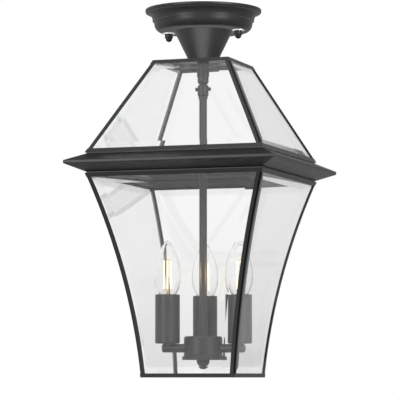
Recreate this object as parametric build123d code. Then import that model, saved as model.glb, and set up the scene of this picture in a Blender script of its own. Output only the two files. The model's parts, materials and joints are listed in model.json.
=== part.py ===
from build123d import *

import os
from math import hypot, sqrt

# Square bevelled-glass lantern on a short neck, hung from a ceiling.
# Millimetres, +Z up. The origin is the centre of the ceiling plane and the front face looks along -Y.

# Heights, counted down from the ceiling
CANOPY_DEPTH = 28.0
NECK_HEIGHT = 42.0
ROOF_HEIGHT = 124.0
CORNICE_HEIGHT = 26.0
BODY_HEIGHT = 260.0

# Widths across the lantern's faces
ROOF_TOP_WIDTH = 103.0
SHOULDER_WIDTH = 238.0
BODY_BOTTOM_WIDTH = 127.0
BODY_BOW = 8.5  # how far each body face curves in from the straight line between its ends

# Frame of folded angles
FRAME_SHEET = 1.2
BAR_LEG = 6.6
BAR_GROOVE_WIDTH = 2.8
BAR_GROOVE_DEPTH = 4.2  # along the diagonal, from the corner
RAIL_HEIGHT = 5.2
RAIL_FLANGE = 10.0
CAP_FLANGE = 5.0

# Bevelled glass, with the clips behind it
GLASS_THICKNESS = 3.0
BEVEL_WIDTH = 12.5
BEVEL_DEPTH = 1.05
GLASS_PLAY = 0.3
CLIP_SHEET = 0.8
CLIP_WIDTH = 12.0
CLIP_HEIGHT = 3.4
CLIP_PLACE = 0.5  # share of the half width at which a clip stands

# Cornice moulding, a folded channel with a recessed neck above and below
CORNICE_PROUD = 21.0  # reach of the nose past the walls
CORNICE_SHEET = 1.0
CORNICE_NECK = 1.2
CORNICE_RECESS = 2.0
CORNICE_TOP_SLOPE = 9.8
CORNICE_NOSE = 4.0
CORNICE_NOSE_ROUND = 1.2

# Canopy dish
CANOPY_DIAMETER = 152.0
CANOPY_SHEET = 1.0
RIM_HEIGHT = 2.5
RIM_ROUND = 2.0
COVE_WIDTH = 7.5
COVE_DROP = 10.5
CANOPY_STEP = 2.0
QUARTER_ROUND_WIDTH = 7.5

# Neck cone
CONE_TOP_DIAMETER = 76.0
CONE_BASE_DIAMETER = 35.0
CONE_SHEET = 1.2

# Ceiling bracket, its studs and the canopy's cap nuts
BRACKET_LENGTH = 120.0
BRACKET_WIDTH = 20.0
BRACKET_SHEET = 2.0
SLOT_SPACING = 60.0
SLOT_LENGTH = 14.0
SLOT_WIDTH = 5.0
STUD_SPACING = 96.0
STUD_DIAMETER = 4.0
STUD_HEAD_DIAMETER = 7.0
STUD_HEAD_HEIGHT = 1.0
STUD_REACH = 7.0  # length of stud inside a cap nut
STUD_NUT_ACROSS = 7.0
STUD_NUT_HEIGHT = 3.2
WASHER_DIAMETER = 16.0
WASHER_THICKNESS = 1.2
CAP_NUT_DIAMETER = 10.7
CAP_NUT_HEIGHT = 10.5
CAP_NUT_SKIRT = 5.0
CAP_NUT_TIP_DIAMETER = 8.6
TERMINAL_LENGTH = 30.0
TERMINAL_WIDTH = 17.0
TERMINAL_HEIGHT = 12.0
TERMINAL_PITCH = 9.0
TERMINAL_BORE = 4.0
TERMINAL_ROUND = 1.0

# Stem on the lantern's axis
PIPE_DIAMETER = 10.0
PIPE_BORE = 7.2
PIPE_NUT_ACROSS = 14.0
PIPE_NUT_HEIGHT = 5.0
PIPE_PROUD = 2.0  # thread that stands past a nut
PIPE_JOINT = 0.5  # gap between the nipple and the rod inside the collar
STEM_NUT_DIAMETER = 16.0
STEM_NUT_HEAD = 17.0
STEM_NUT_NOSE_DIAMETER = 14.5
STEM_NUT_LENGTH = 26.8
STEM_NUT_TAPER = 2.4
WAIST_HEIGHT = 1.6
COLLAR_DIAMETER = 14.2
COLLAR_LENGTH = 17.8
COLLAR_TOP_TAPER = 1.4
COLLAR_BOTTOM_TAPER = 1.2
COLLAR_GROOVE = 0.9
COLLAR_RING_HEIGHT = 2.0
COLLAR_RING_DIAMETER = 12.4
COLLAR_SCREW_DROP = 5.4
COLLAR_SCREW_DIAMETER = 3.0
COLLAR_SCREW_HEAD_DIAMETER = 4.8
COLLAR_SCREW_HEAD_LENGTH = 3.2
COLLAR_SCREW_SLOT = 0.8
COLLAR_SCREW_SLOT_DEPTH = 1.0
COLLAR_SCREW_EASE = 0.4
TAPER_LIP = 0.6  # wall left at the thin end of a taper
WIRE_HOLE_DIAMETER = 4.8

# Cluster at the stem's foot
HUB_LIFT = 22.8  # height of the hub cover's underside over the body's bottom
HUB_ROOM = 6.1  # between the hub cup and a candle sleeve
HUB_HEIGHT = 24.5
HUB_SHEET = 1.5
HUB_ROUND = 3.0
HUB_LIP = 2.4
HUB_LIP_EDGE = 3.4  # height of the upright edge of the lip
HUB_COVER_THICKNESS = 6.2
HUB_COVER_ROUND = 1.2
COUPLING_DIAMETER = 11.8
COUPLING_LENGTH = 22.5
FINIAL_DIAMETER = 17.0
FINIAL_SEAT = 0.8
FINIAL_THREAD = 5.0
ARM_COUNT = 3
ARM_ANGLE = 106.0  # direction of the middle arm, counted from +X
ARM_SPACING = 105.0
ARM_DIAMETER = 11.2
ARM_BORE = 8.2
ARM_RISE = 8.9  # arm axis over the hub cup's rim
ARM_INSET = 2.0
ARM_OVERRUN = 7.0
ARM_END_ROUND = 2.5
ARM_SEAT = 0.3  # flat seat that stands over the arm's round back
CANDLE_ROOM = 0.4  # between a candle sleeve and the nearest pane
SLEEVE_DIAMETER = 32.0
SLEEVE_HEIGHT = 63.4
SLEEVE_SHEET = 1.0
SLEEVE_ROUND = 2.0
HOLDER_DIAMETER = 27.0
HOLDER_HEIGHT = 46.0
SPIGOT_DIAMETER = 7.8
SPIGOT_LENGTH = 5.0

# Candle bulb
BULB_DIAMETER = 35.0
BULB_BELLY_RISE = 23.5  # widest part over the sleeve's top
BULB_LOWER_RADIUS = 45.7  # curve of the glass below the belly
BULB_UPPER_RADIUS = 78.0  # curve of the glass above the belly
BULB_TIP_HEIGHT = 4.4
BULB_LENGTH = 104.0
BULB_PROUD = 70.4  # glass that shows over the sleeve
BULB_WALL = 0.8
BULB_NECK_DIAMETER = 14.0
BULB_CAP_DIAMETER = 13.9
BULB_CAP_HEIGHT = 24.0
BULB_SKIRT_DIAMETER = 16.6
BULB_SKIRT_HEIGHT = 5.0
BULB_RECESS = 3.0
BULB_CONTACT_DIAMETER = 7.0
BULB_CONTACT_HEIGHT = 3.0
FILAMENT_COUNT = 4
FILAMENT_DIAMETER = 1.8
FILAMENT_LENGTH = 39.0
FILAMENT_RING = 4.2
FILAMENT_FOOT = 7.0  # foot of the filaments over the sleeve's top
FILAMENT_DISC = 0.8
BULB_STEM_DIAMETER = 3.6
BULB_STEM_FLARE = 12.0
BULB_STEM_FLARE_HEIGHT = 6.0
BULB_WIRE_DIAMETER = 1.0

# Clearances
FIT = 0.05  # radial, in a threaded or turning fit
BULB_FIT = 0.1
HOLE_PLAY = 0.2
SEAT_GAP = 0.3

# Levels along Z
CANOPY_BASE = -CANOPY_DEPTH
ROOF_TOP = CANOPY_BASE - NECK_HEIGHT
ROOF_BASE = ROOF_TOP - ROOF_HEIGHT
BODY_TOP = ROOF_BASE - CORNICE_HEIGHT
BODY_BASE = BODY_TOP - BODY_HEIGHT
CAP_UNDERSIDE = ROOF_TOP - FRAME_SHEET
WAIST_TOP = CAP_UNDERSIDE - STEM_NUT_LENGTH
COLLAR_TOP = WAIST_TOP - WAIST_HEIGHT
COLLAR_BASE = COLLAR_TOP - COLLAR_LENGTH
NIPPLE_TOP = CANOPY_BASE + CANOPY_SHEET + PIPE_NUT_HEIGHT + PIPE_PROUD
NIPPLE_BASE = (COLLAR_TOP + COLLAR_BASE) / 2
HUB_BASE = BODY_BASE + HUB_LIFT
HUB_RIM = HUB_BASE + HUB_COVER_THICKNESS
HUB_TOP = HUB_RIM + HUB_HEIGHT
ARM_AXIS = HUB_RIM + ARM_RISE
SLEEVE_BASE = ARM_AXIS + ARM_DIAMETER / 2 + ARM_SEAT
SLEEVE_TOP = SLEEVE_BASE + SLEEVE_HEIGHT
BULB_TIP = SLEEVE_TOP + BULB_PROUD
BULB_BASE = BULB_TIP - BULB_LENGTH
BULB_CAP_TOP = BULB_BASE + BULB_CAP_HEIGHT
BULB_SEAT = BULB_CAP_TOP - BULB_RECESS

SIDES = ("right", "back", "left", "front")
CORNERS = ("back_right", "back_left", "front_left", "front_right")
QUARTER = 90.0
CORNICE_WIDTH = SHOULDER_WIDTH + 2 * CORNICE_PROUD
REACH = CORNICE_WIDTH  # no straight run in the lantern is longer


class Wall:
    """The side facing +X, as a curve of half width against height; the other sides are turned copies."""

    def __init__(self, base, top, base_half, top_half, bow=0.0):
        self.base, self.top = base, top
        self.base_half = base_half
        self.bow = bow
        self.slope = (top_half - base_half) / (top - base)
        chord = hypot(top - base, top_half - base_half)
        self.steepness = (top - base) / chord
        if bow:
            self.radius = (chord / 2) ** 2 / (2 * bow) + bow / 2
            out = self.radius - bow
            self.centre_half = (base_half + top_half) / 2 + out * (top - base) / chord
            self.centre_z = (base + top) / 2 - out * (top_half - base_half) / chord

    def half(self, z, depth=0.0):
        """Half width at a height, at a depth behind the outer face."""
        if not self.bow:
            return self.base_half + self.slope * (z - self.base) - depth / self.steepness
        return self.centre_half - sqrt((self.radius + depth) ** 2 - (z - self.centre_z) ** 2)

    def line(self, low, high, depth=0.0, inset=0.0, scale=1.0):
        """The face's own line between two heights, as half width and height."""
        points = [(scale * self.half(z, depth) - inset, z) for z in (low, (low + high) / 2, high)]
        return ThreePointArc(*points) if self.bow else Line(points[0], points[2])

    def region(self, near, far):
        """Face between two such lines that end at the same heights."""
        return make_face([near, Line(near @ 1, far @ 1), far, Line(far @ 0, near @ 0)])

    def section(self, low, high, near, far):
        """Cross-section of a sheet that lies between two depths."""
        return Plane.XZ * self.region(self.line(low, high, near), self.line(low, high, far))

    def sheet(self, low, high, near, far):
        """That sheet, run past both corners."""
        return extrude(self.section(low, high, near, far), amount=REACH, both=True)

    def pane_edge(self):
        """Distance from the corner at which a pane stops short of its neighbour."""
        return PANE_FAR / min(self.steepness, self.top_steepness()) + GLASS_PLAY

    def top_steepness(self):
        """Cosine of the face's lean at its upper end."""
        if not self.bow:
            return self.steepness
        return sqrt(1 - ((self.top - self.centre_z) / self.radius) ** 2)


PANE_NEAR = FRAME_SHEET + GLASS_PLAY
PANE_FAR = PANE_NEAR + GLASS_THICKNESS

ROOF = Wall(ROOF_BASE, ROOF_TOP, SHOULDER_WIDTH / 2, ROOF_TOP_WIDTH / 2)
BODY = Wall(BODY_BASE, BODY_TOP, BODY_BOTTOM_WIDTH / 2, SHOULDER_WIDTH / 2, BODY_BOW)

CANDLE_RADIUS = BODY.half(SLEEVE_BASE, PANE_FAR) - CANDLE_ROOM - SLEEVE_DIAMETER / 2
HUB_DIAMETER = 2 * (CANDLE_RADIUS - SLEEVE_DIAMETER / 2 - HUB_ROOM)
HUB_COVER_DIAMETER = HUB_DIAMETER + 2 * HUB_LIP


def mitred(shape):
    """Cuts a run on the +X side to the two mitre planes at its corners."""
    corner = Polyline((0, 0), (REACH, -REACH), (REACH, REACH), close=True)
    prism = extrude(make_face(corner), amount=BODY_BASE - REACH)
    return (shape & prism).solid()


def turned(*points):
    """Solid of revolution about Z from an outline of radius and height."""
    return revolve(Plane.XZ * make_face(Polyline(*points, close=True)), Axis.Z)


def tube(outer, inner, low, high):
    """Round tube on the Z axis."""
    return turned((inner / 2, low), (outer / 2, low), (outer / 2, high), (inner / 2, high))


def rod(diameter, low, high):
    """Round bar on the Z axis."""
    return turned((0, low), (diameter / 2, low), (diameter / 2, high), (0, high))


def hex_nut(across, bore, low, high):
    """Hexagon nut on the Z axis."""
    outline = RegularPolygon(across / 2, 6, major_radius=False)
    return Pos(0, 0, low) * extrude(outline, amount=high - low) - rod(bore, low, high)


def around(shape, names, prefix):
    """Four turned copies of a piece, each under its own name."""
    return {f"{prefix}_{name}": Rot(0, 0, QUARTER * i) * shape for i, name in enumerate(names)}


def four(shape):
    """Four turned copies of a piece as one group."""
    return Compound([Rot(0, 0, QUARTER * i) * shape for i in range(len(SIDES))])


# Ceiling bracket and canopy

def ceiling_bracket():
    """Flat strap with two slots for the ceiling's screws and counterbored holes for the studs."""
    slot = SlotOverall(SLOT_LENGTH, SLOT_WIDTH)
    outline = SlotOverall(BRACKET_LENGTH, BRACKET_WIDTH)
    outline -= [Pos(side * SLOT_SPACING / 2, 0) * slot for side in (-1, 1)]
    strap = extrude(outline, amount=-BRACKET_SHEET)
    hole = rod(STUD_DIAMETER + 2 * HOLE_PLAY, -BRACKET_SHEET, 0)
    hole += rod(STUD_HEAD_DIAMETER + 2 * HOLE_PLAY, -STUD_HEAD_HEIGHT, 0)
    return strap - [stud_place(side) * hole for side in (-1, 1)]


def stud_place(side):
    return Pos(side * STUD_SPACING / 2, 0, 0)


def bracket_studs():
    """Two headed studs that reach through the canopy, each with its lock nut under the strap."""
    tip = CANOPY_BASE - WASHER_THICKNESS - STUD_REACH
    stud = rod(STUD_DIAMETER, tip, 0) + rod(STUD_HEAD_DIAMETER, -STUD_HEAD_HEIGHT, 0)
    nut_base = -BRACKET_SHEET - STUD_NUT_HEIGHT
    nut = hex_nut(STUD_NUT_ACROSS, STUD_DIAMETER + 2 * FIT, nut_base, -BRACKET_SHEET)
    return Compound([stud_place(side) * piece for side in (-1, 1) for piece in (stud, nut)])


def terminal_block():
    """Three-way screw terminal under the strap."""
    centre = -BRACKET_SHEET - TERMINAL_HEIGHT / 2
    block = Pos(0, 0, centre) * Box(TERMINAL_LENGTH, TERMINAL_WIDTH, TERMINAL_HEIGHT)
    block = fillet(block.edges().filter_by(Axis.Z), TERMINAL_ROUND)
    wire_way = Pos(0, 0, centre) * Rot(QUARTER, 0, 0) * Cylinder(TERMINAL_BORE / 2, TERMINAL_WIDTH)
    screw_well = rod(TERMINAL_BORE, centre - TERMINAL_HEIGHT / 2, centre)
    for way in (-1, 0, 1):
        block -= Pos(way * TERMINAL_PITCH, 0, 0) * (wire_way + screw_well)
    return block


def canopy_section(inset):
    """Half section of the dish: rim, small round, cove, step, quarter round and flat underside."""
    rim = CANOPY_DIAMETER / 2
    cove_top = -RIM_HEIGHT - RIM_ROUND
    ledge = cove_top - COVE_DROP
    cove_edge = rim - RIM_ROUND - COVE_WIDTH
    round_top = ledge - CANOPY_STEP
    round_edge = cove_edge - CANOPY_STEP
    flat_edge = round_edge - QUARTER_ROUND_WIDTH
    round_drop = CANOPY_DEPTH + round_top
    rim_curve = EllipticalCenterArc(
        (rim - RIM_ROUND, -RIM_HEIGHT), RIM_ROUND - inset, RIM_ROUND - inset, arc_size=-QUARTER)
    cove = EllipticalCenterArc(
        (rim - RIM_ROUND, ledge + inset), COVE_WIDTH + inset, COVE_DROP, QUARTER, arc_size=QUARTER)
    quarter_round = EllipticalCenterArc(
        (flat_edge, round_top), QUARTER_ROUND_WIDTH - inset, round_drop - inset, arc_size=-QUARTER)
    floor = CANOPY_BASE + inset
    return make_face([
        Line((0, 0), (rim - inset, 0)),
        Line((rim - inset, 0), (rim - inset, -RIM_HEIGHT)),
        rim_curve,
        cove,
        Line((cove_edge - inset, ledge + inset), (round_edge - inset, ledge + inset)),
        Line((round_edge - inset, ledge + inset), (round_edge - inset, round_top)),
        quarter_round,
        Line((flat_edge, floor), (0, floor)),
        Line((0, floor), (0, 0)),
    ])


def canopy():
    """Spun dish with holes for the nipple and the two studs."""
    dish = revolve(Plane.XZ * (canopy_section(0) - canopy_section(CANOPY_SHEET)), Axis.Z)
    dish -= rod(PIPE_DIAMETER + 2 * HOLE_PLAY, CANOPY_BASE, CANOPY_BASE + CANOPY_SHEET)
    stud_hole = rod(STUD_DIAMETER + 2 * HOLE_PLAY, CANOPY_BASE, CANOPY_BASE + CANOPY_SHEET)
    return dish - [stud_place(side) * stud_hole for side in (-1, 1)]


def canopy_washers():
    hole = STUD_DIAMETER + 2 * HOLE_PLAY
    washer = tube(WASHER_DIAMETER, hole, CANOPY_BASE - WASHER_THICKNESS, CANOPY_BASE)
    return Compound([stud_place(side) * washer for side in (-1, 1)])


def canopy_nut(side):
    """Cap nut with a straight skirt and a rounded tip, bored for its stud."""
    seat = CANOPY_BASE - WASHER_THICKNESS
    skirt = seat - CAP_NUT_SKIRT
    tip = seat - CAP_NUT_HEIGHT
    shoulder = (CAP_NUT_DIAMETER - CAP_NUT_TIP_DIAMETER) / 2
    dome_top = skirt - shoulder
    outline = make_face([
        Line((0, seat), (CAP_NUT_DIAMETER / 2, seat)),
        Line((CAP_NUT_DIAMETER / 2, seat), (CAP_NUT_DIAMETER / 2, skirt)),
        Line((CAP_NUT_DIAMETER / 2, skirt), (CAP_NUT_TIP_DIAMETER / 2, dome_top)),
        EllipticalCenterArc((0, dome_top), CAP_NUT_TIP_DIAMETER / 2, dome_top - tip, arc_size=-QUARTER),
        Line((0, tip), (0, seat)),
    ])
    bore = rod(STUD_DIAMETER + 2 * FIT, seat - STUD_REACH - SEAT_GAP, seat)
    return stud_place(side) * (revolve(Plane.XZ * outline, Axis.Z) - bore)


def neck_cone():
    """Straight conical shell between the canopy and the roof cap."""
    top, base = CONE_TOP_DIAMETER / 2, CONE_BASE_DIAMETER / 2
    return turned(
        (top - CONE_SHEET, CANOPY_BASE), (top, CANOPY_BASE), (base, ROOF_TOP), (base - CONE_SHEET, ROOF_TOP))


# Lantern frame

def roof_cap():
    """Square pan whose turned-down flange follows the roof's slope."""
    lip = ROOF_TOP - CAP_FLANGE
    pan = square_frustum(ROOF, lip, ROOF_TOP, 0) - square_frustum(ROOF, lip, CAP_UNDERSIDE, FRAME_SHEET)
    return pan - rod(PIPE_DIAMETER + 2 * HOLE_PLAY, CAP_UNDERSIDE, ROOF_TOP)


def square_frustum(wall, low, high, depth):
    """Solid inside the four walls between two heights."""
    widths = [(z, 2 * wall.half(z, depth)) for z in (low, high)]
    return loft([Pos(0, 0, z) * Rectangle(width, width) for z, width in widths], ruled=True)


def corner_bar(wall, low, high):
    """Angle along the corner between +X and +Y, thick at its corner for a groove that runs down it."""
    leg = corner_strip(wall, low, high, FRAME_SHEET, BAR_LEG)
    leg += corner_strip(wall, low, high, PANE_FAR, PANE_FAR)
    other_leg = Rot(0, 0, QUARTER) * mirror(leg, about=Plane.XZ)
    return leg + other_leg - corner_groove(wall, low, high)


def corner_strip(wall, low, high, thickness, width):
    """Strip on the +X side along that corner, mitred there."""
    zone = wall.region(wall.line(low, high, inset=width), wall.line(low, high, inset=-width))
    return mitred(wall.sheet(low, high, 0, thickness) & extrude(Plane.YZ * zone, amount=REACH))


def corner_groove(wall, low, high):
    """Slot that runs down that corner and points at the lantern's axis."""
    floor = wall.line(low, high, inset=BAR_GROOVE_DEPTH, scale=sqrt(2))
    outside = wall.line(low, high, inset=-BAR_GROOVE_DEPTH, scale=sqrt(2))
    slot = extrude(Plane.XZ * wall.region(floor, outside), amount=BAR_GROOVE_WIDTH / 2, both=True)
    return Rot(0, 0, QUARTER / 2) * slot


def rail(wall, low, high, flange_low):
    """One mitred rail of a frame: a band on the face and a flange turned inward."""
    band = wall.sheet(low, high, 0, FRAME_SHEET)
    flange = wall.sheet(flange_low, flange_low + FRAME_SHEET, 0, RAIL_FLANGE)
    return mitred(band + flange)


def pane(wall, low, high):
    """Sheet of glass that follows the wall, with a wide bevel round its outer face."""
    edge = wall.pane_edge()
    right = wall.line(low, high, inset=edge)
    left = mirror(right, about=Plane.YZ).edge()
    outline = extrude(Plane.YZ * wall.region(right, left), amount=REACH)
    blank = (wall.sheet(low, high, PANE_NEAR, PANE_FAR) & outline).solid()
    outer = blank.faces().sort_by(SortBy.AREA)[-2:].sort_by(Axis.X)[-1]
    return blank.chamfer(BEVEL_WIDTH, BEVEL_DEPTH, outer.edges(), outer)


def clips(wall, low, high):
    """Two tabs behind the glass on each side of the lantern."""
    near = PANE_FAR + GLASS_PLAY
    tab = wall.sheet(low, high, near, near + CLIP_SHEET)
    place = CLIP_PLACE * wall.half(low)
    return [
        (tab & Pos(REACH / 2, side * place, (low + high) / 2) * Box(REACH, CLIP_WIDTH, REACH)).solid()
        for side in (-1, 1)
    ]


def glass_clips():
    """Every clip that keeps a pane in, at the panes' heads and feet."""
    head_roof = clips(ROOF, CAP_UNDERSIDE - CLIP_HEIGHT, CAP_UNDERSIDE)
    foot_roof = clips(ROOF, ROOF_BASE + FRAME_SHEET, ROOF_BASE + FRAME_SHEET + CLIP_HEIGHT)
    head_body = clips(BODY, BODY_TOP - FRAME_SHEET - CLIP_HEIGHT, BODY_TOP - FRAME_SHEET)
    foot_body = clips(BODY, BODY_BASE + FRAME_SHEET, BODY_BASE + FRAME_SHEET + CLIP_HEIGHT)
    one_side = head_roof + foot_roof + head_body + foot_body
    return Compound([Rot(0, 0, QUARTER * i) * clip for i in range(len(SIDES)) for clip in one_side])


def cornice():
    """One mitred moulding: a channel that slopes out to a blunt nose, open at its back."""
    back = SHOULDER_WIDTH / 2 - RAIL_FLANGE
    neck = SHOULDER_WIDTH / 2 - CORNICE_RECESS
    nose = CORNICE_WIDTH / 2
    nose_top = ROOF_BASE - CORNICE_NECK - CORNICE_TOP_SLOPE
    nose_base = nose_top - CORNICE_NOSE
    outline = make_face(Polyline(
        (back, ROOF_BASE), (neck, ROOF_BASE), (neck, ROOF_BASE - CORNICE_NECK), (nose, nose_top),
        (nose, nose_base), (neck, BODY_TOP + CORNICE_NECK), (neck, BODY_TOP), (back, BODY_TOP), close=True))
    outline = fillet(outline.vertices().sort_by(Axis.X)[-2:], CORNICE_NOSE_ROUND)
    hollow = offset(outline, -CORNICE_SHEET, kind=Kind.INTERSECTION)
    open_back = Pos(back, (ROOF_BASE + BODY_TOP) / 2) * Rectangle(
        4 * CORNICE_SHEET, CORNICE_HEIGHT - 2 * CORNICE_SHEET)
    channel = Plane.XZ * (outline - hollow - open_back)
    return mitred(extrude(channel, amount=REACH, both=True))


# Stem

def hanger_nipple():
    return tube(PIPE_DIAMETER, PIPE_BORE, NIPPLE_BASE, NIPPLE_TOP)


def nipple_locknut():
    floor = CANOPY_BASE + CANOPY_SHEET
    return hex_nut(PIPE_NUT_ACROSS, PIPE_DIAMETER + 2 * FIT, floor, floor + PIPE_NUT_HEIGHT)


def stem_nut():
    """Long round nut that clamps the canopy, neck and roof cap together."""
    bore = PIPE_DIAMETER / 2 + FIT
    head, nose = STEM_NUT_DIAMETER / 2, STEM_NUT_NOSE_DIAMETER / 2
    step = CAP_UNDERSIDE - STEM_NUT_HEAD
    return turned(
        (bore, CAP_UNDERSIDE), (head, CAP_UNDERSIDE), (head, step), (nose, step - (head - nose)),
        (nose, WAIST_TOP + STEM_NUT_TAPER), (bore + TAPER_LIP, WAIST_TOP), (bore, WAIST_TOP))


def collar_screw_place(side):
    """Place of a side screw: its own Z runs outward along X."""
    turn = QUARTER if side > 0 else -QUARTER
    return Pos(0, 0, COLLAR_TOP - COLLAR_SCREW_DROP) * Rot(0, turn, 0)


def stem_collar():
    """Collar that joins the nipple to the rod, tapped for a screw on either side, with a ring at its foot."""
    bore, outer, ring = PIPE_DIAMETER / 2 + FIT, COLLAR_DIAMETER / 2, COLLAR_RING_DIAMETER / 2
    thin = bore + TAPER_LIP
    ring_top = COLLAR_BASE + COLLAR_RING_HEIGHT
    groove_top = ring_top + COLLAR_GROOVE
    collar = turned(
        (bore, COLLAR_TOP), (thin, COLLAR_TOP), (outer, COLLAR_TOP - COLLAR_TOP_TAPER),
        (outer, groove_top + COLLAR_BOTTOM_TAPER), (thin, groove_top), (thin, ring_top),
        (ring, ring_top), (ring, COLLAR_BASE), (bore, COLLAR_BASE))
    hole = rod(COLLAR_SCREW_DIAMETER + 2 * FIT, 0, COLLAR_DIAMETER)
    return collar - [collar_screw_place(side) * hole for side in (-1, 1)]


def collar_screw(side):
    """Slotted screw that bears on the nipple through the collar's wall."""
    tip = PIPE_DIAMETER / 2 + FIT
    seat = COLLAR_DIAMETER / 2 + FIT
    end = seat + COLLAR_SCREW_HEAD_LENGTH
    screw = rod(COLLAR_SCREW_DIAMETER, tip, seat) + rod(COLLAR_SCREW_HEAD_DIAMETER, seat, end)
    screw = chamfer(screw.edges().sort_by(Axis.Z)[-1], COLLAR_SCREW_EASE)
    slot = Pos(0, 0, end) * Box(COLLAR_SCREW_HEAD_DIAMETER, COLLAR_SCREW_SLOT, 2 * COLLAR_SCREW_SLOT_DEPTH)
    return collar_screw_place(side) * (screw - slot)


def stem_rod():
    """Pipe from the collar down through the hub, with a cross hole for wires inside the hub."""
    pipe = tube(PIPE_DIAMETER, PIPE_BORE, HUB_BASE - FINIAL_THREAD, NIPPLE_BASE - PIPE_JOINT)
    wire_hole = Rot(0, QUARTER, 0) * rod(WIRE_HOLE_DIAMETER, -PIPE_DIAMETER, PIPE_DIAMETER)
    return pipe - Pos(0, 0, ARM_AXIS) * wire_hole


# Cluster

def hub_coupling():
    """Threaded sleeve on the rod that holds the hub cup down."""
    return tube(COUPLING_DIAMETER, PIPE_DIAMETER + 2 * FIT, HUB_TOP, HUB_TOP + COUPLING_LENGTH)


def hub_cup():
    """Spun cup, open below, with a hole for each arm."""
    top, side = HUB_TOP, HUB_DIAMETER / 2
    cup = rod(HUB_DIAMETER, HUB_RIM, top)
    cup = fillet(cup.edges().sort_by(Axis.Z)[-1], HUB_ROUND)
    cup -= rod(HUB_DIAMETER - 2 * HUB_SHEET, HUB_RIM, top - HUB_SHEET)
    cup -= rod(PIPE_DIAMETER + 2 * HOLE_PLAY, top - HUB_SHEET, top)
    hole = Pos(side, 0, ARM_AXIS) * Rot(0, QUARTER, 0) * Cylinder(ARM_DIAMETER / 2 + FIT, side)
    return cup - [arm_turn(i) * hole for i in range(ARM_COUNT)]


def arm_turn(index):
    return Rot(0, 0, ARM_ANGLE + ARM_SPACING * (index - (ARM_COUNT - 1) / 2))


def hub_cover():
    """Disc with a lip that flares out from the hub cup it closes."""
    hole, side, lip = PIPE_DIAMETER / 2 + HOLE_PLAY, HUB_DIAMETER / 2, HUB_COVER_DIAMETER / 2
    edge_top = HUB_BASE + HUB_LIP_EDGE
    plate = turned((hole, HUB_BASE), (lip, HUB_BASE), (lip, edge_top), (side, HUB_RIM), (hole, HUB_RIM))
    rounded = plate.edges().filter_by(lambda edge: edge.length > 2 * HUB_COVER_DIAMETER).sort_by(Axis.Z)[:2]
    return fillet(rounded, HUB_COVER_ROUND)


def finial():
    """Round-ended nut on the rod's foot that holds the hub cover up."""
    seat = HUB_BASE - FINIAL_SEAT
    hang = (Align.CENTER, Align.CENTER, Align.MAX)
    dome = Pos(0, 0, seat) * Sphere(FINIAL_DIAMETER / 2, -QUARTER, 0, align=hang)
    thread = rod(PIPE_DIAMETER + 2 * FIT, HUB_BASE - FINIAL_THREAD - SEAT_GAP, HUB_BASE)
    return dome + rod(FINIAL_DIAMETER, seat, HUB_BASE) - thread


def arm(index):
    """Level tube with a rounded end and a flat seat for its candle, open into the hub."""
    start = HUB_DIAMETER / 2 - HUB_SHEET - ARM_INSET
    end = CANDLE_RADIUS + ARM_OVERRUN
    bar = fillet(rod(ARM_DIAMETER, start, end).edges().sort_by(Axis.Z)[-1], ARM_END_ROUND)
    bar = Pos(0, 0, ARM_AXIS) * Rot(0, QUARTER, 0) * bar
    bar += Pos(CANDLE_RADIUS, 0, 0) * rod(ARM_DIAMETER, ARM_AXIS, SLEEVE_BASE)
    wire_way = Pos(0, 0, ARM_AXIS) * Rot(0, QUARTER, 0) * rod(ARM_BORE, start, CANDLE_RADIUS + ARM_BORE / 2)
    spigot_hole = Pos(CANDLE_RADIUS, 0, 0) * rod(SPIGOT_DIAMETER + 2 * FIT, ARM_AXIS, SLEEVE_BASE)
    return arm_turn(index) * (bar - wire_way - spigot_hole)


def candle_place(index):
    return arm_turn(index) * Pos(CANDLE_RADIUS, 0, 0)


def candle_sleeve(index):
    """Tall cup round the lampholder, with a rounded foot."""
    cup = rod(SLEEVE_DIAMETER, SLEEVE_BASE, SLEEVE_TOP)
    cup = fillet(cup.edges().sort_by(Axis.Z)[0], SLEEVE_ROUND)
    cup -= rod(SLEEVE_DIAMETER - 2 * SLEEVE_SHEET, SLEEVE_BASE + SLEEVE_SHEET, SLEEVE_TOP)
    cup -= rod(SPIGOT_DIAMETER + 2 * FIT, SLEEVE_BASE, SLEEVE_BASE + SLEEVE_SHEET)
    return candle_place(index) * cup


def lampholders():
    """Moulded holders in the sleeves, bored for the bulb's cap, each with a spigot down into its arm."""
    foot = SLEEVE_BASE + SLEEVE_SHEET
    holder = rod(HOLDER_DIAMETER, foot, foot + HOLDER_HEIGHT)
    holder -= rod(BULB_CAP_DIAMETER + 2 * BULB_FIT, BULB_BASE - SEAT_GAP, foot + HOLDER_HEIGHT)
    holder += rod(SPIGOT_DIAMETER, foot - SPIGOT_LENGTH, foot)
    return Compound([candle_place(i) * holder for i in range(ARM_COUNT)])


# Candle bulbs

def bulb_outline(inset):
    """Half section of the bulb's glass: straight neck, belly, long flank and pointed tip."""
    belly_z = SLEEVE_TOP + BULB_BELLY_RISE
    neck, tip = BULB_NECK_DIAMETER / 2 - inset, BULB_TIP - inset
    rise = tip - BULB_TIP_HEIGHT - belly_z
    drop = sqrt((BULB_LOWER_RADIUS - inset) ** 2 - (neck + BULB_LOWER_RADIUS - BULB_DIAMETER / 2) ** 2)
    below = [(bulb_half(BULB_LOWER_RADIUS, inset, d), belly_z - d) for d in (drop, drop / 2, 0)]
    above = [(bulb_half(BULB_UPPER_RADIUS, inset, d), belly_z + d) for d in (0, rise / 2, rise)]
    flank = ThreePointArc(*above)
    return make_face([
        Line((0, BULB_SEAT), (neck, BULB_SEAT)),
        Line((neck, BULB_SEAT), below[0]),
        ThreePointArc(*below),
        flank,
        Spline(above[-1], (0, tip), tangents=[flank % 1, (-1, 0)]),
        Line((0, tip), (0, BULB_SEAT)),
    ])


def bulb_half(radius, inset, distance):
    """Half width of the glass at a distance along Z from its belly, on a curve of a given radius."""
    return BULB_DIAMETER / 2 - radius + sqrt((radius - inset) ** 2 - distance ** 2)


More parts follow.
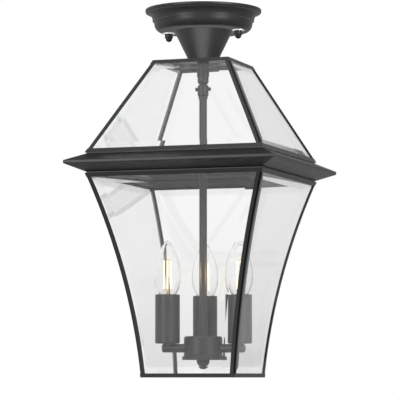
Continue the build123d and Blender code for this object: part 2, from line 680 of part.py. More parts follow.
def bulb_glass(index):
    shell = revolve(Plane.XZ * (bulb_outline(0) - bulb_outline(BULB_WALL)), Axis.Z)
    return candle_place(index) * shell


def bulb_cap(index):
    """Screw cap: skirt round the glass neck, threaded shell and a stepped contact."""
    shell, skirt = BULB_CAP_DIAMETER / 2, BULB_SKIRT_DIAMETER / 2
    recess = BULB_NECK_DIAMETER / 2 + FIT
    skirt_base = BULB_CAP_TOP - BULB_SKIRT_HEIGHT
    shell_base = BULB_BASE + BULB_CONTACT_HEIGHT
    cap = turned(
        (0, BULB_BASE), (BULB_CONTACT_DIAMETER / 2, BULB_BASE), (shell, shell_base),
        (shell, skirt_base), (skirt, skirt_base), (skirt, BULB_CAP_TOP),
        (recess, BULB_CAP_TOP), (recess, BULB_SEAT), (0, BULB_SEAT))
    return candle_place(index) * cap


def bulb_filament(index):
    """Glass stem with a ring of straight filaments held between two discs and a centre wire."""
    foot = SLEEVE_TOP + FILAMENT_FOOT
    head = foot + FILAMENT_LENGTH
    disc = 2 * (FILAMENT_RING + FILAMENT_DIAMETER)
    stem, flare = BULB_STEM_DIAMETER / 2, BULB_STEM_FLARE / 2
    flare_top = BULB_SEAT + BULB_STEM_FLARE_HEIGHT
    mount = turned((0, BULB_SEAT), (flare, BULB_SEAT), (stem, flare_top), (stem, foot), (0, foot))
    mount += rod(BULB_WIRE_DIAMETER, foot, head)
    mount += [rod(disc, z, z + FILAMENT_DISC) for z in (foot - FILAMENT_DISC, head)]
    strand = Pos(FILAMENT_RING, 0, 0) * rod(FILAMENT_DIAMETER, foot, head)
    mount += [Rot(0, 0, 360 / FILAMENT_COUNT * i) * strand for i in range(FILAMENT_COUNT)]
    return candle_place(index) * mount


def pieces():
    """Every piece of the lantern, by name."""
    made = {
        "ceiling_bracket": ceiling_bracket(),
        "bracket_studs": bracket_studs(),
        "terminal_block": terminal_block(),
        "canopy": canopy(),
        "canopy_washers": canopy_washers(),
        "canopy_nut_left": canopy_nut(-1),
        "canopy_nut_right": canopy_nut(1),
        "neck_cone": neck_cone(),
        "hanger_nipple": hanger_nipple(),
        "nipple_locknut": nipple_locknut(),
        "roof_cap": roof_cap(),
        "roof_base_frame": four(rail(ROOF, ROOF_BASE, ROOF_BASE + RAIL_HEIGHT, ROOF_BASE)),
        "body_top_frame": four(rail(BODY, BODY_TOP - RAIL_HEIGHT, BODY_TOP, BODY_TOP - FRAME_SHEET)),
        "body_bottom_frame": four(rail(BODY, BODY_BASE, BODY_BASE + RAIL_HEIGHT, BODY_BASE)),
        "glass_clips": glass_clips(),
        "stem_nut": stem_nut(),
        "stem_collar": stem_collar(),
        "collar_screw_left": collar_screw(-1),
        "collar_screw_right": collar_screw(1),
        "stem_rod": stem_rod(),
        "hub_coupling": hub_coupling(),
        "hub_cup": hub_cup(),
        "hub_cover": hub_cover(),
        "finial": finial(),
        "lampholders": lampholders(),
    }
    made |= around(corner_bar(ROOF, ROOF_BASE + RAIL_HEIGHT, ROOF_TOP - CAP_FLANGE), CORNERS, "roof_hip")
    made |= around(corner_bar(BODY, BODY_BASE + RAIL_HEIGHT, BODY_TOP - RAIL_HEIGHT), CORNERS, "corner_post")
    roof_low, roof_high = ROOF_BASE + FRAME_SHEET + GLASS_PLAY, CAP_UNDERSIDE - GLASS_PLAY
    body_low, body_high = BODY_BASE + FRAME_SHEET + GLASS_PLAY, BODY_TOP - FRAME_SHEET - GLASS_PLAY
    made |= around(pane(ROOF, roof_low, roof_high), SIDES, "roof_pane")
    made |= around(pane(BODY, body_low, body_high), SIDES, "body_pane")
    made |= around(cornice(), SIDES, "cornice")
    for index in range(ARM_COUNT):
        number = index + 1
        made[f"arm_{number}"] = arm(index)
        made[f"candle_sleeve_{number}"] = candle_sleeve(index)
        made[f"bulb_glass_{number}"] = bulb_glass(index)
        made[f"bulb_cap_{number}"] = bulb_cap(index)
        made[f"bulb_filament_{number}"] = bulb_filament(index)
    return made


os.makedirs("parts", exist_ok=True)
for name, piece in pieces().items():
    export_step(piece, f"parts/{name}.step")
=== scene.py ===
import json
from math import cos, hypot, pi, radians, sin, sqrt

import bmesh
import bpy
from mathutils import Matrix, Vector


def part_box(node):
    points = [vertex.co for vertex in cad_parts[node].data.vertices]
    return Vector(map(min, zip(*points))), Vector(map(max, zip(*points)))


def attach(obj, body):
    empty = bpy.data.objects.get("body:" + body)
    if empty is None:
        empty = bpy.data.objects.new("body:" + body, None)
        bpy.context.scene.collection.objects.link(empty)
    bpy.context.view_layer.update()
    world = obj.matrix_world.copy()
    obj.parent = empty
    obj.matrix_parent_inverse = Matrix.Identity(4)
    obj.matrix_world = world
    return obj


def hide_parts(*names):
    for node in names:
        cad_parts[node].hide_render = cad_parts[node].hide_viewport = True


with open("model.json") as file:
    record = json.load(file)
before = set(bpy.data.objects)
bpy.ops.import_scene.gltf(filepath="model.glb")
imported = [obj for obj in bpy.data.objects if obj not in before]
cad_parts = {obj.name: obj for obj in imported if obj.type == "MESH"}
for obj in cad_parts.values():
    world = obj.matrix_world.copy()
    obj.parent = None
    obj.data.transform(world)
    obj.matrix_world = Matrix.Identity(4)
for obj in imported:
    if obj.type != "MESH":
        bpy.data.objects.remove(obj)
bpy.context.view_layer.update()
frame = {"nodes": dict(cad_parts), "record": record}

# Square bevelled-glass lantern on a short neck. Metres, +Z up, ceiling plane at zero, front along -Y.

MM = 0.001
FULL_TURN = 2 * pi
SIDES = ("right", "back", "left", "front")
CANDLES = (1, 2, 3)
UP = Vector((0.0, 0.0, 1.0))

scene = bpy.context.scene
scene.view_settings.view_transform = "Standard"


# Node helpers

def feed(tree, value, socket):
    """A plain number set on a socket, or an output linked to it."""
    if isinstance(value, float):
        socket.default_value = value
    else:
        tree.links.new(value, socket)


def spread(tree, value, ends, levels, easing="SMOOTHSTEP"):
    """A value carried from one range to another, held at both ends."""
    carried = tree.nodes.new("ShaderNodeMapRange")
    carried.interpolation_type = easing
    for name, number in zip(("From Min", "From Max", "To Min", "To Max"), (*ends, *levels)):
        carried.inputs[name].default_value = number
    tree.links.new(value, carried.inputs["Value"])
    return carried.outputs["Result"]


def combined(tree, operation, one, other):
    """Two values as one."""
    result = tree.nodes.new("ShaderNodeMath")
    result.operation = operation
    feed(tree, one, result.inputs[0])
    feed(tree, other, result.inputs[1])
    return result.outputs["Value"]


def product(tree, one, other):
    return combined(tree, "MULTIPLY", one, other)


def blend_value(tree, factor, low, high):
    """One value at factor 0 and another at factor 1."""
    blend = tree.nodes.new("ShaderNodeMix")
    tree.links.new(factor, blend.inputs["Factor"])
    feed(tree, low, blend.inputs["A"])
    feed(tree, high, blend.inputs["B"])
    return blend.outputs["Result"]


def towards(tree, place, way):
    """How far a place or a direction lies along a way."""
    along = tree.nodes.new("ShaderNodeVectorMath")
    along.operation = "DOT_PRODUCT"
    along.inputs[1].default_value = way
    tree.links.new(place, along.inputs[0])
    return along.outputs["Value"]


# Materials

NONE_TO_ALL = (0.0, 1.0)
PAINT_SHINE = 0.28
PLATING_UNEVENNESS = 0.06

# Light that stays in a pane past the bounces that a render follows
FOLLOWED_BOUNCES = 2.0
TRAPPED_GREEN = (0.034, 0.044, 0.041)
TRAPPED_PALE = (0.33, 0.34, 0.335)
FRONT = (0.0, -1.0, 0.0)
FRONT_RANGE = (-0.02, 0.02)
FRONT_LEFT = (-1.0, -1.0, 0.0)
FRONT_LEFT_RANGE = (0.04, 0.1)


def shader_of(name, colour):
    """A new material of a colour, with its node tree and main shader."""
    made = bpy.data.materials.new(name)
    made.use_nodes = True
    tree = made.node_tree
    shader = tree.nodes["Principled BSDF"]
    shader.inputs["Base Color"].default_value = (*colour, 1.0)
    return made, tree, shader


def grain(tree, scale, detail, low, high):
    """Noise in object space, spread between two values."""
    place = tree.nodes.new("ShaderNodeTexCoord")
    noise = tree.nodes.new("ShaderNodeTexNoise")
    noise.inputs["Scale"].default_value = scale
    noise.inputs["Detail"].default_value = detail
    tree.links.new(place.outputs["Object"], noise.inputs["Vector"])
    return spread(tree, noise.outputs["Fac"], NONE_TO_ALL, (low, high), "LINEAR")


def rough_surface(tree, shader, scale, strength, depth):
    """Fine relief on a surface."""
    bump = tree.nodes.new("ShaderNodeBump")
    bump.inputs["Strength"].default_value = strength
    bump.inputs["Distance"].default_value = depth
    tree.links.new(grain(tree, scale, detail=2.0, low=0.0, high=1.0), bump.inputs["Height"])
    tree.links.new(bump.outputs["Normal"], shader.inputs["Normal"])


def satin_paint(name, colour):
    """Powder coat: dark, satin, with a faint orange peel."""
    made, tree, shader = shader_of(name, colour)
    shader.inputs["Specular IOR Level"].default_value = PAINT_SHINE
    tree.links.new(grain(tree, scale=90.0, detail=3.0, low=0.34, high=0.44), shader.inputs["Roughness"])
    rough_surface(tree, shader, scale=900.0, strength=0.12, depth=0.2 * MM)
    return made


def plated_steel(name, colour, rough):
    """Plated steel with a little unevenness in its shine."""
    made, tree, shader = shader_of(name, colour)
    shader.inputs["Metallic"].default_value = 1.0
    low, high = rough - PLATING_UNEVENNESS, rough + PLATING_UNEVENNESS
    tree.links.new(grain(tree, scale=260.0, detail=4.0, low=low, high=high), shader.inputs["Roughness"])
    return made


def moulded_plastic(name, colour):
    """Matt moulded plastic."""
    made, tree, shader = shader_of(name, colour)
    tree.links.new(grain(tree, scale=300.0, detail=2.0, low=0.45, high=0.6), shader.inputs["Roughness"])
    rough_surface(tree, shader, scale=1500.0, strength=0.1, depth=0.1 * MM)
    return made


def clear_glass(name, colour, ior, depth_colour, density):
    """Polished clear glass that takes on a colour where light runs far inside it."""
    made, tree, shader = shader_of(name, colour)
    shader.inputs["Roughness"].default_value = 0.0
    shader.inputs["IOR"].default_value = ior
    shader.inputs["Transmission Weight"].default_value = 1.0
    inside = tree.nodes.new("ShaderNodeVolumeAbsorption")
    inside.inputs["Color"].default_value = (*depth_colour, 1.0)
    inside.inputs["Density"].default_value = density
    tree.links.new(inside.outputs["Volume"], tree.nodes["Material Output"].inputs["Volume"])
    return made


def trapped_light(glass):
    """A weak glow in place of light trapped in the front of a pane: green, and pale at the left corner."""
    tree = glass.node_tree
    path = tree.nodes.new("ShaderNodeLightPath")
    place = tree.nodes.new("ShaderNodeTexCoord").outputs["Object"]
    trapped = combined(tree, "GREATER_THAN", path.outputs["Glossy Depth"], FOLLOWED_BOUNCES)
    in_front = spread(tree, towards(tree, place, FRONT), FRONT_RANGE, NONE_TO_ALL, "LINEAR")
    at_left = spread(tree, towards(tree, place, FRONT_LEFT), FRONT_LEFT_RANGE, NONE_TO_ALL, "LINEAR")
    colour = tree.nodes.new("ShaderNodeMix")
    colour.data_type = "RGBA"
    colour.inputs["A"].default_value = (*TRAPPED_GREEN, 1.0)
    colour.inputs["B"].default_value = (*TRAPPED_PALE, 1.0)
    tree.links.new(at_left, colour.inputs["Factor"])
    shader = tree.nodes["Principled BSDF"]
    tree.links.new(colour.outputs["Result"], shader.inputs["Emission Color"])
    tree.links.new(product(tree, trapped, in_front), shader.inputs["Emission Strength"])


def glowing(name, colour, strength):
    """A surface that gives light of its own colour."""
    made, _, shader = shader_of(name, colour)
    shader.inputs["Emission Color"].default_value = (*colour, 1.0)
    shader.inputs["Emission Strength"].default_value = strength
    return made


LOOKS = {
    "frame_paint": satin_paint("frame_paint", (0.013, 0.0127, 0.0128)),
    "zinc_steel": plated_steel("zinc_steel", (0.62, 0.62, 0.64), rough=0.32),
    "washer_steel": plated_steel("washer_steel", (0.75, 0.75, 0.76), rough=0.2),
    "cap_metal": plated_steel("cap_metal", (0.7, 0.7, 0.72), rough=0.24),
    "terminal_plastic": moulded_plastic("terminal_plastic", (0.8, 0.8, 0.78)),
    "holder_plastic": moulded_plastic("holder_plastic", (0.02, 0.02, 0.02)),
    "bevelled_glass": clear_glass(
        "bevelled_glass", (0.995, 0.993, 0.988), ior=1.5, depth_colour=(0.5, 0.93, 0.86), density=4.0
    ),
    "bulb_glass": clear_glass(
        "bulb_glass", (1.0, 1.0, 1.0), ior=1.45, depth_colour=(0.9, 0.95, 0.93), density=8.0
    ),
    "filament": glowing("filament", (1.0, 0.84, 0.5), strength=1.2),
}
WIRE_LOOK = plated_steel("wire_bronze", (0.42, 0.28, 0.13), rough=0.35)
# Painted shade: dark paint on the panes' side edges, in place of the dark frame seen in the glass edges
EDGE_SHADE_LOOK = satin_paint("edge_seal", (0.012, 0.0122, 0.0128))
# Painted light: the glass stem glows warm in place of the filament light it catches
STEM_GLOW_LOOK = glowing("lit_stem", (0.62, 0.44, 0.25), strength=0.4)
trapped_light(LOOKS["bevelled_glass"])


# Meshes

WELD_DISTANCE = 1e-7


def smooth(mesh, angle):
    """Smooth faces that keep every edge sharper than an angle."""
    mesh.polygons.foreach_set("use_smooth", [True] * len(mesh.polygons))
    mesh.set_sharp_from_angle(angle=angle)


def piece(name, points, faces, angle, look, body, *nodes, finish=None):
    """A closed mesh that rides on a body and stands for CAD nodes."""
    mesh = bpy.data.meshes.new(name)
    mesh.from_pydata(points, [], faces)
    shell = bmesh.new()
    shell.from_mesh(mesh)
    bmesh.ops.remove_doubles(shell, verts=shell.verts, dist=WELD_DISTANCE)
    bmesh.ops.recalc_face_normals(shell, faces=shell.faces)
    shell.to_mesh(mesh)
    shell.free()
    smooth(mesh, angle)
    mesh.materials.append(finish or LOOKS[look])
    made = bpy.data.objects.new(name, mesh)
    scene.collection.objects.link(made)
    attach(made, body)
    if nodes:
        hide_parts(*nodes)
    return made


def lathe(profile, segments, centre):
    """Points and faces of a closed profile of radius and height, turned about a vertical line."""
    points, faces = [], []
    rings = len(profile)
    for i in range(segments):
        turn = FULL_TURN * i / segments
        points += [(centre.x + r * cos(turn), centre.y + r * sin(turn), z) for r, z in profile]
    for i in range(segments):
        here, there = rings * i, rings * ((i + 1) % segments)
        for j in range(rings):
            k = (j + 1) % rings
            if profile[j][0] == 0 and profile[k][0] == 0:
                continue
            corners = [here + j, there + j, there + k, here + k]
            if profile[j][0] == 0:
                corners = [here + j, there + k, here + k]
            elif profile[k][0] == 0:
                corners = [here + j, there + j, here + k]
            faces.append(corners)
    return points, faces


def tube(path, radius, sides):
    """Points and faces of a round bar along a path, with flat ends."""
    points, faces = [], []
    turns = [FULL_TURN * k / sides for k in range(sides)]
    across = None
    for i, place in enumerate(path):
        along = (path[min(i + 1, len(path) - 1)] - path[max(i - 1, 0)]).normalized()
        square_on = across - across.dot(along) * along if across else along.orthogonal()
        across = square_on.normalized()
        other = along.cross(across)
        points += [place + radius * (cos(turn) * across + sin(turn) * other) for turn in turns]
    for i in range(len(path) - 1):
        for k in range(sides):
            a, b = sides * i + k, sides * i + (k + 1) % sides
            faces.append((a, b, b + sides, a + sides))
    faces.append(list(reversed(range(sides))))
    faces.append(list(range(len(points) - sides, len(points))))
    return points, faces


def join(shapes):
    """Points and faces of several meshes as one."""
    points, faces = [], []
    for more_points, more_faces in shapes:
        faces += [[len(points) + i for i in face] for face in more_faces]
        points += more_points
    return points, faces


# Walls and their panes

class Wall:
    """Half width of the lantern's side against height, straight or bowed inward."""

    def __init__(self, base, top, base_half, top_half, bow=0.0):
        self.base = base
        self.base_half = base_half
        self.bow = bow
        rise, run = top - base, top_half - base_half
        chord = hypot(rise, run)
        self.slope = run / rise
        self.steepness = rise / chord
        self.side_lean = run / chord
        if bow:
            self.radius = (chord / 2) ** 2 / (2 * bow) + bow / 2
            out = self.radius - bow
            self.centre_half = (base_half + top_half) / 2 + out * rise / chord
            self.centre_z = (base + top) / 2 - out * run / chord

    def half(self, z, depth=0.0):
        """Half width at a height, on a surface some depth inside the outer one."""
        if not self.bow:
            return self.base_half + self.slope * (z - self.base) - depth / self.steepness
        return self.centre_half - sqrt((self.radius + depth) ** 2 - (z - self.centre_z) ** 2)


ROOF = Wall(base=-194 * MM, top=-70 * MM, base_half=119 * MM, top_half=51.5 * MM)
BODY = Wall(base=-480 * MM, top=-220 * MM, base_half=63.5 * MM, top_half=119 * MM, bow=8.5 * MM)
PANE_NEAR = 1.5 * MM
PANE_FAR = 4.5 * MM
PANE_COLUMNS = 4
PANE_SHARP = radians(3)
BEVEL_WIDTH = 12.5 * MM
BEVEL_DEPTH = 1.05 * MM
SIDE_EDGE_FACING = 0.6
SAME_LEVEL = 0.1 * MM


def pane_ends(node, level):
    """Places across the pane of the CAD corners at a level."""
    corners = [vertex.co for vertex in frame["nodes"][node].data.vertices]
    return [point.y for point in corners if abs(point.z - level) < SAME_LEVEL]


def bevelled_pane(wall, node, rows):
    """Points and faces of the pane on the +X side, with a mitred bevel round its outer face."""
    low, high = (corner.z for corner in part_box(node))
    edge = wall.half(low) - max(abs(v) for v in pane_ends(node, low))
    rise = BEVEL_WIDTH * wall.steepness
    across = BEVEL_WIDTH / sqrt(1 - wall.side_lean ** 2)
    inner = [low + rise + (high - low - 2 * rise) * i / rows for i in range(rows + 1)]
    levels = [low, *inner, high]
    ends, sides = (0, len(levels) - 1), (0, PANE_COLUMNS - 1)
    outside, inside = [], []
    for r, z in enumerate(levels):
        width = wall.half(z) - edge
        for c, y in enumerate((-width, across - width, width - across, width)):
            depth = PANE_NEAR + (BEVEL_DEPTH if r in ends or c in sides else 0.0)
            outside.append((wall.half(z, depth), y, z))
            inside.append((wall.half(z, PANE_FAR), y, z))

    back = len(outside)
    first_row, last_row = 0, len(levels) - 2
    first_column, last_column = 0, PANE_COLUMNS - 2
    faces = []
    for r in range(len(levels) - 1):
        for c in range(PANE_COLUMNS - 1):
            a = PANE_COLUMNS * r + c
            b, d, e = a + 1, a + PANE_COLUMNS, a + PANE_COLUMNS + 1
            if r in (first_row, last_row) and c in (first_column, last_column):
                rising = (r == first_row) == (c == first_column)
                faces += [(a, b, e), (a, e, d)] if rising else [(a, b, d), (b, e, d)]
            else:
                faces.append((a, b, e, d))
            faces.append((back + a, back + d, back + e, back + b))
        for c in sides:
            a = PANE_COLUMNS * r + c
            d = a + PANE_COLUMNS
            faces.append((a, d, back + d, back + a))
    for r in ends:
        for c in range(PANE_COLUMNS - 1):
            a = PANE_COLUMNS * r + c
            faces.append((a, back + a, back + a + 1, a + 1))
    return outside + inside, faces


def panes(wall, prefix, rows):
    """The four panes of a wall, with their side edges painted dark: painted shade for the dark frame seen in
    the glass edges.
    """
    points, faces = bevelled_pane(wall, f"{prefix}_right", rows)
    for i, side in enumerate(SIDES):
        turn = Matrix.Rotation(FULL_TURN / len(SIDES) * i, 3, "Z")
        node = f"{prefix}_{side}"
        turned = [turn @ Vector(point) for point in points]
        made = piece(f"{node}_bevelled", turned, faces, PANE_SHARP, "bevelled_glass", "lantern", node)
        # Painted shade on the side edges of each pane
        made.data.materials.append(EDGE_SHADE_LOOK)
        across = turn @ Vector((0.0, 1.0, 0.0))
        for face in made.data.polygons:
            face.material_index = int(abs(face.normal.dot(across)) > SIDE_EDGE_FACING)


panes(ROOF, "roof_pane", rows=2)
panes(BODY, "body_pane", rows=28)


# Candle bulbs

BULB_HALF = 17.5 * MM
BULB_WALL = 0.8 * MM
BULB_SEGMENTS = 64
BULB_SHARP = radians(40)
BELLY_RISE = 23.5 * MM
LOWER_CURVE = 45.7 * MM
LOWER_STEPS = 14
UPPER_CURVE = 78.0 * MM
UPPER_STEPS = 22
TIP_HEIGHT = 4.4 * MM
TIP_STEPS = 10
TIP_RADIUS_POWER = 1.6
TIP_HEIGHT_POWER = 0.85
NECK_HALF = 7.0 * MM

# Radius and height over the seat along the stem's flared foot
STEM_FOOT = ((5.6 * MM, 0.5 * MM), (4.2 * MM, 2.5 * MM), (2.25 * MM, 6.0 * MM))
STEM_RADIUS = 1.5 * MM
STEM_STRAIGHT_FROM = 11.0 * MM
STEM_TIP_HEIGHT = 1.0 * MM
STEM_TIP_RADIUS = 0.9 * MM
STEM_SEGMENTS = 24
STEM_SHARP = radians(35)

# Strands stand on a ring, a little wider at their feet, and bent wires hold them to the stem
STRAND_COUNT = 4
STRAND_RADIUS = 0.8 * MM
STRAND_SEGMENTS = 14
STRAND_FOOT = 7.2 * MM
STRAND_HEAD = 45.6 * MM
STRAND_RING = 4.3 * MM
STRAND_SPLAY = 0.6 * MM
STRAND_TURN = radians(19)
WIRE_RADIUS = 0.32 * MM
WIRE_SEGMENTS = 8
WIRE_SHARP = radians(50)
HOOK_DROP = 1.5 * MM
HOOK_RISE = 1.2 * MM
KNEE_OUT = 0.9 * MM
KNEE_DROP = 2.2 * MM
LEAD_RING = 2.4 * MM
LEAD_RISE = 0.8 * MM
LEAD_END = 12.0 * MM


def bulb_profile(sleeve_top, seat, tip, inset):
    """Half section of the bulb from its neck to its tip: belly, long flank and pointed end."""
    belly = sleeve_top + BELLY_RISE
    neck, tip = NECK_HALF - inset, tip - inset

    def half(curve, distance):
        return BULB_HALF - curve + sqrt((curve - inset) ** 2 - distance ** 2)

    drop = sqrt((LOWER_CURVE - inset) ** 2 - (neck + LOWER_CURVE - BULB_HALF) ** 2)
    rise = tip - TIP_HEIGHT - belly
    outline = [(neck, seat)]
    for i in range(LOWER_STEPS):
        down = drop * (1 - i / LOWER_STEPS)
        outline.append((half(LOWER_CURVE, down), belly - down))
    for i in range(UPPER_STEPS):
        up = rise * i / UPPER_STEPS
        outline.append((half(UPPER_CURVE, up), belly + up))
    shoulder = half(UPPER_CURVE, rise)
    for i in range(TIP_STEPS):
        share = i / TIP_STEPS
        height = tip - TIP_HEIGHT + TIP_HEIGHT * share ** TIP_HEIGHT_POWER
        outline.append((shoulder * (1 - share ** TIP_RADIUS_POWER), height))
    return outline + [(0.0, tip)]


def stem_profile(seat, head):
    """Half section of the glass stem, from its flared foot to its tip."""
    foot = [(radius, seat + height) for radius, height in STEM_FOOT]
    shaft = [(STEM_RADIUS, seat + STEM_STRAIGHT_FROM), (STEM_RADIUS, head - STEM_TIP_HEIGHT)]
    return [*foot, *shaft, (STEM_TIP_RADIUS, head), (0.0, head), (0.0, foot[0][1])]


def strand_and_wires(centre, turn, seat, foot, head):
    """One lit strand, with the hook at its head and the lead at its foot."""
    out = Vector((cos(turn), sin(turn), 0))

    def at(ring, z):
        return centre + out * ring + Vector((0, 0, z))

    top, bottom = at(STRAND_RING, head - HOOK_DROP), at(STRAND_RING + STRAND_SPLAY, foot)
    strand = tube([bottom, bottom.lerp(top, 0.5), top], STRAND_RADIUS, STRAND_SEGMENTS)
    hook = [top, top + UP * HOOK_RISE, at(STEM_RADIUS, head - STEM_TIP_HEIGHT)]
    knee, bend = at(STRAND_RING + KNEE_OUT, foot - KNEE_DROP), at(LEAD_RING, foot + LEAD_RISE)
    lead = [bottom, knee, bend, at(STEM_RADIUS, seat + LEAD_END)]
    return strand, [tube(path, WIRE_RADIUS, WIRE_SEGMENTS) for path in (hook, lead)]


def candle_bulb(number):
    """Clear bulb: its glass, the glass stem with its wires and a painted glow, and four lit strands."""
    body, glass, filament = f"bulb_{number}", f"bulb_glass_{number}", f"bulb_filament_{number}"
    low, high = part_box(glass)
    axis, seat = (low + high) / 2, low.z
    sleeve_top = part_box(f"candle_sleeve_{number}")[1].z
    head, foot = sleeve_top + STRAND_HEAD, sleeve_top + STRAND_FOOT

    outer = bulb_profile(sleeve_top, seat, high.z, inset=0.0)
    inner = bulb_profile(sleeve_top, seat, high.z, inset=BULB_WALL)
    shell = lathe(outer + inner[::-1], BULB_SEGMENTS, axis)
    piece(f"{body}_glass", *shell, BULB_SHARP, "bulb_glass", body, glass)

    stem = lathe(stem_profile(seat, head), STEM_SEGMENTS, axis)
    # The glass stem takes a painted glow for the filament light it catches
    piece(f"{body}_stem", *stem, STEM_SHARP, "filament", body, finish=STEM_GLOW_LOOK)

    strands, wires = [], []
    for i in range(STRAND_COUNT):
        turn = FULL_TURN * i / STRAND_COUNT + STRAND_TURN
        strand, held_by = strand_and_wires(Vector((axis.x, axis.y, 0)), turn, seat, foot, head)
        strands.append(strand)
        wires += held_by
    piece(f"{body}_strands", *join(strands), WIRE_SHARP, "filament", body, filament)
    piece(f"{body}_wires", *join(wires), WIRE_SHARP, "cap_metal", body, finish=WIRE_LOOK)


for number in CANDLES:
    candle_bulb(number)


# Finish of the frame

SLOTS = {part["node"]: part["material_slot"] for part in frame["record"]["subparts"]}
for node in frame["nodes"].values():
    node.data.materials.clear()
    node.data.materials.append(LOOKS[SLOTS[node.name]])

# The panes reflect the room and hardly the dark bars and mouldings round it
UNREFLECTED = (
    "ceiling_bracket", "bracket_studs", "terminal_block", "canopy", "nipple_locknut", "hanger_nipple",
    "neck_cone", "roof_cap", "roof_hip", "cornice", "glass_clips", "corner_post_back", "corner_post_front_left",
)
for name, node in frame["nodes"].items():
    if name.startswith(UNREFLECTED):
        node.visible_glossy = False


# World

LIGHT_LEVEL = 0.6

# What shows through glass, by the height of the ray and near one dim direction
THROUGH_HORIZON_TO_ROOM = (0.66, 0.945)
THROUGH_RISE = (-0.04, 0.08)
THROUGH_FALL = (-0.04, -0.2)
DIM_SIDE = (0.27, 0.96, 0.0)
DIM_SIDE_RANGE = (0.85, 0.97)
THROUGH_ROOM_TO_DIM_SIDE = (1.0, 0.7)

# What gloss reflects, from front to back, from the floor up, and at the back of the ceiling
REFLECTED_FRONT_TO_BACK = (1.06, 0.55)
FRONT_TO_BACK_RANGE = (-0.2, 0.9)
REFLECTED_FLOOR_TO_ROOM = (0.5, 1.0)
FLOOR_TO_ROOM_RANGE = (-0.9, -0.2)
REFLECTED_BACK_TO_CEILING = (1.0, 0.1)
BACK_OF_CEILING = (0.0, 1.0, 2.0)
BACK_TO_CEILING_RANGE = (1.65, 2.0)


def background(tree):
    """White for the camera, a soft rise of grey behind the glass, and a room that is dimmer at its back."""
    nodes, links = tree.nodes, tree.links
    path = nodes.new("ShaderNodeLightPath")
    way = nodes.new("ShaderNodeTexCoord").outputs["Generated"]
    along = nodes.new("ShaderNodeSeparateXYZ")
    links.new(way, along.inputs["Vector"])
    above = spread(tree, along.outputs["Z"], THROUGH_RISE, THROUGH_HORIZON_TO_ROOM)
    below = spread(tree, along.outputs["Z"], THROUGH_FALL, THROUGH_HORIZON_TO_ROOM)
    dim_side = spread(tree, towards(tree, way, DIM_SIDE), DIM_SIDE_RANGE, THROUGH_ROOM_TO_DIM_SIDE)
    behind_glass = product(tree, combined(tree, "MAXIMUM", above, below), dim_side)
    to_back = spread(tree, along.outputs["Y"], FRONT_TO_BACK_RANGE, REFLECTED_FRONT_TO_BACK)
    to_floor = spread(tree, along.outputs["Z"], FLOOR_TO_ROOM_RANGE, REFLECTED_FLOOR_TO_ROOM)
    up_and_back = towards(tree, way, BACK_OF_CEILING)
    to_ceiling = spread(tree, up_and_back, BACK_TO_CEILING_RANGE, REFLECTED_BACK_TO_CEILING)
    reflected = product(tree, product(tree, to_back, to_floor), to_ceiling)
    level = blend_value(tree, path.outputs["Is Glossy Ray"], LIGHT_LEVEL, reflected)
    level = blend_value(tree, path.outputs["Is Transmission Ray"], level, behind_glass)
    level = blend_value(tree, path.outputs["Is Camera Ray"], level, 1.0)
    sky = nodes["Background"]
    sky.inputs["Color"].default_value = (1.0, 1.0, 1.0, 1.0)
    links.new(level, sky.inputs["Strength"])


world = bpy.data.worlds.new("studio")
world.use_nodes = True
scene.world = world
background(world.node_tree)


# Floor

FLOOR_DROP = 2.6
FLOOR_RADIUS = 3.0
FLOOR_SIDES = 96


def floor():
    """Pale round floor, well below the lantern."""
    made, _, shader = shader_of("floor", (0.8, 0.8, 0.8))
    shader.inputs["Roughness"].default_value = 0.9
    turns = [FULL_TURN * i / FLOOR_SIDES for i in range(FLOOR_SIDES)]
    rim = [(FLOOR_RADIUS * cos(turn), FLOOR_RADIUS * sin(turn), -FLOOR_DROP) for turn in turns]
    mesh = bpy.data.meshes.new("floor")
    mesh.from_pydata(rim, [], [list(range(FLOOR_SIDES))])
    mesh.materials.append(made)
    disc = bpy.data.objects.new("floor", mesh)
    scene.collection.objects.link(disc)


floor()


# Lamps

MIDDLE = Vector((0.0, 0.0, -0.24))
CANDLE_COLOUR = (1.0, 0.62, 0.3)
CANDLE_POWER = 0.2
CANDLE_SIZE = 12 * MM


def lit_by(name, things):
    """A collection of what a lamp lights, or of what shades it."""
    made = bpy.data.collections.new(name)
    for thing in things:
        made.objects.link(thing)
    return made


def is_glass(thing):
    looks = [slot.material for slot in thing.material_slots]
    return LOOKS["bevelled_glass"] in looks or LOOKS["bulb_glass"] in looks


# The lamps light everything but the glass, which shows the room alone
SOLID = [thing for thing in scene.objects if thing.type == "MESH" and not is_glass(thing)]
STUDIO = lit_by("studio_lit", SOLID)
NECK = lit_by("neck_lit", [frame["nodes"]["neck_cone"]])
STEM = lit_by("stem_lit", [frame["nodes"]["stem_rod"]])
SLEEVES = lit_by("stem_shade", [frame["nodes"][f"candle_sleeve_{i}"] for i in CANDLES])


def add_lamp(name, lamp, place, aim, lit, shade):
    """A lamp that points from a place at an aim, lights some things and is shaded by some."""
    holder = bpy.data.objects.new(name, lamp)
    holder.location = place
    holder.rotation_euler = (aim - place).to_track_quat("-Z", "Y").to_euler()
    holder.visible_camera = False
    holder.visible_transmission = False
    holder.light_linking.receiver_collection = lit
    holder.light_linking.blocker_collection = shade
    scene.collection.objects.link(holder)


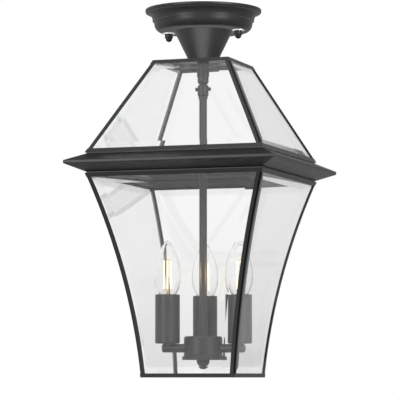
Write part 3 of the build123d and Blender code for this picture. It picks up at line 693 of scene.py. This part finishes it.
def softbox(name, azimuth, elevation, distance, size, power, lit=STUDIO):
    """Square lamp round the lantern that points at its middle."""
    lamp = bpy.data.lights.new(name, "AREA")
    lamp.shape = "SQUARE"
    lamp.size = size
    lamp.energy = power
    turn, rise = radians(azimuth), radians(elevation)
    out = Vector((sin(turn) * cos(rise), -cos(turn) * cos(rise), sin(rise)))
    add_lamp(name, lamp, MIDDLE + distance * out, MIDDLE, lit, lit)


def candle_light(number):
    """Warm light of one bulb on the stem rod."""
    name = f"candle_light_{number}"
    lamp = bpy.data.lights.new(name, "POINT")
    lamp.color = CANDLE_COLOUR
    lamp.energy = CANDLE_POWER
    lamp.shadow_soft_size = CANDLE_SIZE
    low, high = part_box(f"bulb_glass_{number}")
    middle = (low + high) / 2
    add_lamp(name, lamp, middle, middle + UP, STEM, SLEEVES)


softbox("key", azimuth=59, elevation=12, distance=2.3, size=1.0, power=26.0)
softbox("fill", azimuth=-22, elevation=9, distance=2.3, size=0.8, power=20.0)
softbox("top", azimuth=19, elevation=62, distance=2.0, size=1.2, power=20.0)
softbox("neck", azimuth=12, elevation=-45, distance=1.2, size=1.4, power=27.0, lit=NECK)
for number in CANDLES:
    candle_light(number)


# Camera

AZIMUTH = radians(19.21)
DISTANCE = 3.035
CAMERA_Z = -0.4797
PITCH = radians(4.34)
SIDEWAYS = -4.41 * MM
FOCAL_PIXELS = 2335.8
PHOTO_PIXELS = 400
SENSOR = 36.0
FARTHEST = 50.0

camera = bpy.data.cameras.new("camera")
camera.sensor_width = SENSOR
camera.sensor_fit = "HORIZONTAL"
camera.lens = SENSOR * FOCAL_PIXELS / PHOTO_PIXELS
camera.clip_end = FARTHEST
eye = bpy.data.objects.new("camera", camera)
eye.location = (
    DISTANCE * sin(AZIMUTH) + SIDEWAYS * cos(AZIMUTH),
    -DISTANCE * cos(AZIMUTH) + SIDEWAYS * sin(AZIMUTH),
    CAMERA_Z,
)
eye.rotation_euler = (pi / 2 + PITCH, 0.0, AZIMUTH)
scene.collection.objects.link(eye)
scene.camera = eye
